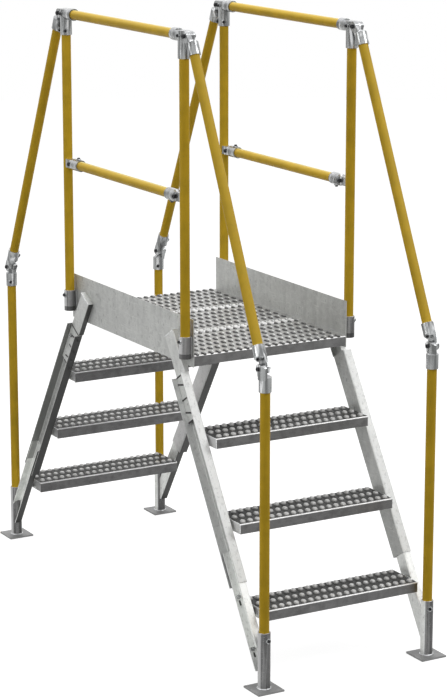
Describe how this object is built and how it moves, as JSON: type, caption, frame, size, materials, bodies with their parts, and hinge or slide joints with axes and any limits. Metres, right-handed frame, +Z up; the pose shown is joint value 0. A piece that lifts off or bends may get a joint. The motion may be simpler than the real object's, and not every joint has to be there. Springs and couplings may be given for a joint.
{
  "type": "crossover platform",
  "caption": "Steel crossover platform: two steep stepped flights up to a raised deck with pipe handrails, for walking over pipes or ducts.",
  "frame": {"origin": "floor level at the centre of the platform", "axes": "+X along the walk towards the near flight's foot, +Y across the walk to a climber's right on the near flight, +Z up"},
  "size_m": [2.0098, 0.7384, 2.1071],
  "materials": {
    "yellow_paint": "gloss",
    "tread_steel": "rough galvanised",
    "fitting_steel": "galvanised castings",
    "foot_steel": "galvanised",
    "galvanised_steel": "galvanised, light spangle"
  },
  "bodies": {
    "root": {"side_panel_left": "galvanised_steel", "side_panel_right": "galvanised_steel", "hanger_near_left": "galvanised_steel", "hanger_near_right": "galvanised_steel", "hanger_far_left": "galvanised_steel", "hanger_far_right": "galvanised_steel", "stringer_near_left": "galvanised_steel", "stringer_near_right": "galvanised_steel", "stringer_far_left": "galvanised_steel", "stringer_far_right": "galvanised_steel", "foot_near_left": "foot_steel", "foot_near_right": "foot_steel", "foot_far_left": "foot_steel", "foot_far_right": "foot_steel", "deck_plank_near": "tread_steel", "deck_plank_middle": "tread_steel", "deck_plank_far": "tread_steel", "step_near_top": "tread_steel", "step_near_middle": "tread_steel", "step_near_bottom": "tread_steel", "step_far_top": "tread_steel", "step_far_middle": "tread_steel", "step_far_bottom": "tread_steel", "rail_post_near_left": "yellow_paint", "rail_post_near_right": "yellow_paint", "rail_post_far_left": "yellow_paint", "rail_post_far_right": "yellow_paint", "top_rail_left": "yellow_paint", "top_rail_right": "yellow_paint", "mid_rail_left": "yellow_paint", "mid_rail_right": "yellow_paint", "mid_fittings_left": "fitting_steel", "mid_fittings_right": "fitting_steel", "sloped_rail_near_left": "yellow_paint", "sloped_rail_near_right": "yellow_paint", "sloped_rail_far_left": "yellow_paint", "sloped_rail_far_right": "yellow_paint", "foot_post_near_left": "yellow_paint", "foot_post_near_right": "yellow_paint", "foot_post_far_left": "yellow_paint", "foot_post_far_right": "yellow_paint", "corner_near_left": "fitting_steel", "corner_near_right": "fitting_steel", "corner_far_left": "fitting_steel", "corner_far_right": "fitting_steel", "elbow_near_left": "fitting_steel", "elbow_near_right": "fitting_steel", "elbow_far_left": "fitting_steel", "elbow_far_right": "fitting_steel"}
  },
  "joints": []
}
